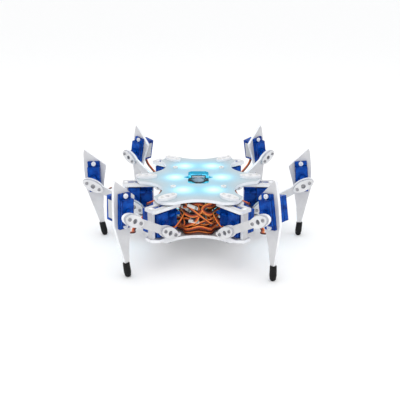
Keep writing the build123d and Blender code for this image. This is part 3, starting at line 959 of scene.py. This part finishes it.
def low_lead(front):
    """Along the bottom plate; front is how far back its middle stays from the bay's front."""
    points = [(0.1, 0.95, 0.05), (0.22, 0.5, 0.01), (0.3, front, 0.0), (0.5, front - 0.04, 0.05)]
    points += [(0.7, front, 0.0), (0.78, 0.5, 0.01), (0.9, 0.95, 0.05)]
    return points, ACROSS_Y, 0.2


def back_lead(rise, wave):
    """Across the back of the bay at one height, waving up and down."""
    points = [(0.04, 0.95, rise), (0.22, 0.8, rise + wave), (0.42, 0.86, rise - wave)]
    points += [(0.6, 0.8, rise + wave), (0.8, 0.86, rise - wave), (0.96, 0.95, rise)]
    return points, ACROSS_Z, 0.9


bright_leads = FRONT_LEADS + [low_lead(0.02 + 0.16 * row) for row in range(3)]
# Back leads, drawn with the darker wires as painted shade of the bay's back under the top plate.
shaded_back_leads = [back_lead(row / 8, 0.07 * (-1) ** row) for row in range(9)]
for number, (points, side, twist) in enumerate(bright_leads + shaded_back_leads):
    order = WIRES if number % 2 == 0 else WIRES[::-1]
    if number >= len(bright_leads):
        order = SHADED_BACK_WIRES
    places = [bay(*point) for point in points]
    lead = ribbon(f"loom_lead_{number + 1}", places, order, side, twist, clear_of_hips)
    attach(lead, "chassis")
    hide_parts("wiring_loom")


def plug(name, point, x_axis, z_axis):
    """White three-way plug: rounded shell, three contact slots and a key ridge."""
    shell = new_object(name + "_shell", bevelled_block(name, (10.4, 2.7, 2.3), 0.3), white_plug)
    parts = [shell]
    for k in (-1, 0, 1):
        contact = bevelled_block(name, (2.2, 0.45, 0.3), 0.08)
        slot = new_object(f"{name}_slot{k}", contact, black_plastic)
        slot.matrix_world = Matrix.Translation((3.4 * MM, k * 0.8 * MM, 1.12 * MM))
        parts.append(slot)
    ridge = new_object(name + "_ridge", bevelled_block(name, (9.0, 0.5, 0.5), 0.12), white_plug)
    ridge.matrix_world = Matrix.Translation((0, 1.4 * MM, 0.5 * MM))
    parts.append(ridge)
    bpy.context.view_layer.update()
    return place(join(name, parts), point, x_axis, z_axis)


# Each plug's place in the bay, the way its contacts point, and the way its top faces.
PLUGS = [
    ((0.28, 0.4, 0.72), (1, 0.05, -0.62), (0, -1, 0.3)),
    ((0.40, 0.02, 0.86), (1, 0.05, -0.42), (0, -1, 0.3)),
    ((0.72, 0.72, 0.34), (1, 0.1, -0.12), (0, -1, 0.4)),
    ((0.42, 0.14, 0.36), (1, 0.1, -0.2), (0, -1, 0.5)),
]
for number, (spot, x_axis, z_axis) in enumerate(PLUGS):
    made = plug(f"lead_plug_{number + 1}", bay(*spot), x_axis, z_axis)
    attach(made, "chassis")


# ---------------------------------------------------------------- leads that cross the joints
# How far the knee lead stands above the lift axis halfway along the femur: the middle legs'
# leads arch over it and the others hang.
KNEE_LEAD_ARCH = {"middle_left": 11.0, "middle_right": 5.0}
KNEE_LEAD_HANG = -1.5


def knee_servo_lead(leg):
    """The knee servo's lead in three parts, from the knee past the lift axis to the hip."""
    name = leg.name
    start = leg.beside(leg.knee, face=-11.6, along=-6.6)
    droop = leg.beside(leg.knee, out=-4.0, face=-11.0, up=-15.0)
    rise = KNEE_LEAD_ARCH.get(name, KNEE_LEAD_HANG)
    half = leg.beside(leg.lift, out=24.0, face=-11.5, up=rise)
    post = leg.beside(leg.lift, out=13.0, face=-18.6, up=-2.5)
    by_hip = leg.beside(leg.lift, out=-2.0, face=-20.5, up=6.0)
    hip = Vector((leg.hip.x, leg.hip.y, leg.lift.z + 12 * MM))
    inside = leg.beside(hip, out=-14.0, face=-14.0)
    end = leg.beside(hip, out=-24.0, face=-9.0)
    shin_part = [start, leg.beside(start, along=-3.0), droop, half]
    femur_part = [half, leg.beside(half, out=-5.0, up=-0.8), post, by_hip]
    hip_part = [by_hip, leg.beside((by_hip + inside) / 2, up=1.5), inside, end]
    first = ribbon(name + "_knee_lead", shin_part, WIRES, leg.face)
    second = ribbon(name + "_femur_lead", femur_part, WIRES, leg.face)
    third = ribbon(name + "_hip_lead", hip_part, WIRES, leg.face)
    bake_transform(first)
    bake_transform(second)
    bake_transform(third)


# Places of the swing servo's lead as (out, face, up) in millimetres from the hip axis at z = 0.
LOOPED_SWING_LEAD = [
    (0.0, 7.4, 37.0),
    (-1.0, 13.0, 38.5),
    (-3.0, 23.0, 43.0),
    (-9.0, 29.0, 48.0),
    (-14.5, 22.0, 53.0),
    (-17.0, 12.0, 55.0),
]
PLAIN_SWING_LEAD = [(0.0, 7.4, 37.0), (0.0, 10.5, 37.5), (-6.0, 12.0, 44.0), (-17.0, 5.0, 47.0)]


def swing_servo_lead(leg):
    """The swing servo's lead from the hip into the body; it loops on the middle legs."""
    base = Vector((leg.hip.x, leg.hip.y, 0))
    route = LOOPED_SWING_LEAD if leg.name.startswith("middle") else PLAIN_SWING_LEAD
    points = [leg.beside(base, out, face, up) for out, face, up in route]
    lead = ribbon(leg.name + "_swing_lead", points, WIRES, leg.face)
    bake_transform(lead)


for leg in legs.values():
    knee_servo_lead(leg)
    swing_servo_lead(leg)

# ---------------------------------------------------------------- servo labels
LABEL_SIZE = (17.0, 10.0, 0.12)
LABEL_ROUNDING = 0.05
LABEL_LIFT = 0.02 * MM  # how far the label's middle stands off the case
LABEL_INSET = 7.6 * MM  # along leg.face, from the case's lowest end to the label's middle
LABEL_SIDE = {"front_left": 1, "back_left": -1, "back_right": -1}  # 1 is away from the body

for name, sign in LABEL_SIDE.items():
    leg = legs[name]
    mesh = nodes[name + "_knee_servo"].data
    pieces, co = islands(mesh)
    case = max(pieces, key=lambda piece: extent(mesh, co, piece)[0])
    centre = extent(mesh, co, case)[1]
    shin_up = centre - leg.knee
    shin_up = (shin_up - leg.face * shin_up.dot(leg.face)).normalized()
    normal = leg.face.cross(shin_up)
    normal *= sign * math.copysign(1.0, normal.dot(leg.out))
    corners = [Vector(point) for point in co[vertices_of(mesh, case)]]
    low = min(point.dot(leg.face) for point in corners)
    width = max(point.dot(normal) for point in corners)
    spot = centre + leg.face * (low + LABEL_INSET - centre.dot(leg.face))
    spot += normal * (width + LABEL_LIFT - centre.dot(normal))
    title = name + "_knee_label"
    label = new_object(title, bevelled_block(title, LABEL_SIZE, LABEL_ROUNDING), servo_label)
    place(label, spot, shin_up, normal)
    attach(label, name + "_tibia")


# ---------------------------------------------------------------- what shows in the window
def seated(name, mesh, material, at, slot="board", x_axis=(1, 0, 0)):
    """A piece fixed on the body, upright, its place in millimetres from the body's middle."""
    piece = place(new_object(name, mesh, material), at_body(*at), x_axis, UP)
    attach(piece, "chassis")


def seated_block(name, size, round_by, material, at, **where):
    seated(name, bevelled_block(name, size, round_by), material, at, **where)


MODULE_BOTTOM = 56.3  # millimetres above the floor
MODULE_TOP = 57.5
SENSOR_Y = 3.9
DOME = [(6.4, 0.0), (6.4, 0.5), (6.1, 1.0), (5.4, 1.6)]
DOME += [(4.2, 2.15), (2.8, 2.5), (1.4, 2.65), (0.3, 2.7)]
RING = [(6.5, 0.0), (7.6, 0.0), (7.7, 0.2), (7.6, 0.9), (7.3, 1.1), (6.6, 1.0), (6.5, 0.8)]
spacer_height = MODULE_BOTTOM - BOARD_TOP / MM
spacer = [(1.2, 0.0), (1.6, 0.2), (1.6, spacer_height - 0.2), (1.2, spacer_height)]

seated_block("window_module_board", (29.0, 38.0, 1.2), 0.2, lit_board, (0, 12.0, 56.9))
seated_block(
    "window_module_socket", (20.0, 2.5, 5.4), 0.2, black_plastic, (0, 27.0, 53.6), slot="black_plastic"
)
for side, word in ((-1, "left"), (1, "right")):
    title = "window_spacer_" + word
    foot = (side * 12.4, -4.6, BOARD_TOP / MM)
    seated(title, turned_mesh(title, spacer, sides=6), nylon, foot, slot="nylon")
dome = turned_mesh("window_sensor_dome", DOME)
seated("window_sensor_dome", dome, dome_grey, (0, SENSOR_Y, MODULE_TOP))
ring = turned_mesh("window_sensor_ring", RING)
seated("window_sensor_ring", ring, black_plastic, (0, SENSOR_Y, MODULE_TOP), slot="black_plastic")
seated_block("window_shield_bar", (13.4, 1.7, 2.2), 0.25, shield_silver, (0, 12.0, 58.5))
seated_block(
    "window_pin_bar", (15.0, 1.9, 2.6), 0.2, black_plastic, (0, 14.0, 58.7), slot="black_plastic"
)
for side, word in ((-1, "left"), (1, "right")):
    seated_block(
        "window_side_chip_" + word,
        (2.4, 3.6, 0.9),
        0.12,
        black_plastic,
        (side * 8.6, 9.6, 57.9),
        slot="black_plastic",
        x_axis=(1, side * 0.8, 0),
    )


# ---------------------------------------------------------------- stage, light and camera
def floor_material():
    material, tree, shader = new_material("sweep_floor")
    where = coordinates(tree)
    grain = noise(tree, where, 40.0)
    colour = clouded(tree, grain, (0.97, 0.97, 0.97), (0.98, 0.98, 0.98))
    tree.links.new(colour, shader.inputs["Base Color"])
    shader.inputs["Roughness"].default_value = 0.9
    shader.inputs["Specular IOR Level"].default_value = 0.1
    return material


FLOOR_REACH = 40.0
floor_mesh = bpy.data.meshes.new("sweep_floor")
corner_signs = ((-1, -1), (1, -1), (1, 1), (-1, 1))
floor_corners = [(x * FLOOR_REACH, y * FLOOR_REACH, 0) for x, y in corner_signs]
floor_mesh.from_pydata(floor_corners, [], [(0, 1, 2, 3)])
new_object("sweep_floor", floor_mesh, floor_material())

scene = bpy.context.scene
world = bpy.data.worlds.new("studio")
scene.world = world
world.use_nodes = True
sky = world.node_tree.nodes["Background"]
sky.inputs["Color"].default_value = (0.99, 0.995, 1.0, 1.0)
sky.inputs["Strength"].default_value = 1.01


def aim_at(obj, target):
    obj.rotation_mode = "QUATERNION"
    obj.rotation_quaternion = (Vector(target) - obj.location).to_track_quat("-Z", "Y")


def softbox(name, location, target, size, power):
    data = bpy.data.lights.new(name, "AREA")
    data.shape = "RECTANGLE"
    data.size, data.size_y = size
    data.energy = power
    light = bpy.data.objects.new(name, data)
    scene.collection.objects.link(light)
    light.location = location
    aim_at(light, target)


softbox("top_softbox", (0.0, -0.05, 0.9), (0, 0, 0.03), size=(0.9, 0.7), power=1.6)
softbox("front_softbox", (-0.25, -1.1, 0.55), (0, 0, 0.05), size=(0.8, 0.6), power=1.2)
for number, lamp in enumerate(lamps):
    data = bpy.data.lights.new(f"lamp_glow_{number + 1}", "POINT")
    data.energy = 0.012
    data.color = (0.2, 0.8, 1.0)
    data.shadow_soft_size = 1.5 * MM
    glow = bpy.data.objects.new(data.name, data)
    scene.collection.objects.link(glow)
    glow.location = (lamp.x, lamp.y, PLATE_LOW - 3 * MM)

scene.view_settings.view_transform = "Standard"

CAMERA_TARGET = at_body(0, 0, 66.9)
CAMERA_ELEVATION = math.radians(18.0)
CAMERA_DISTANCE = 0.628
camera_data = bpy.data.cameras.new("view")
camera_data.sensor_width = 36.0
camera_data.lens = 55.4
camera_data.shift_x = 0.004
camera_data.shift_y = -0.0666
camera_data.clip_start = 0.01
camera_data.clip_end = 200.0
camera = bpy.data.objects.new("view", camera_data)
scene.collection.objects.link(camera)
towards_camera = Vector((0, -math.cos(CAMERA_ELEVATION), math.sin(CAMERA_ELEVATION)))
camera.location = CAMERA_TARGET + CAMERA_DISTANCE * towards_camera
aim_at(camera, CAMERA_TARGET)
scene.camera = camera
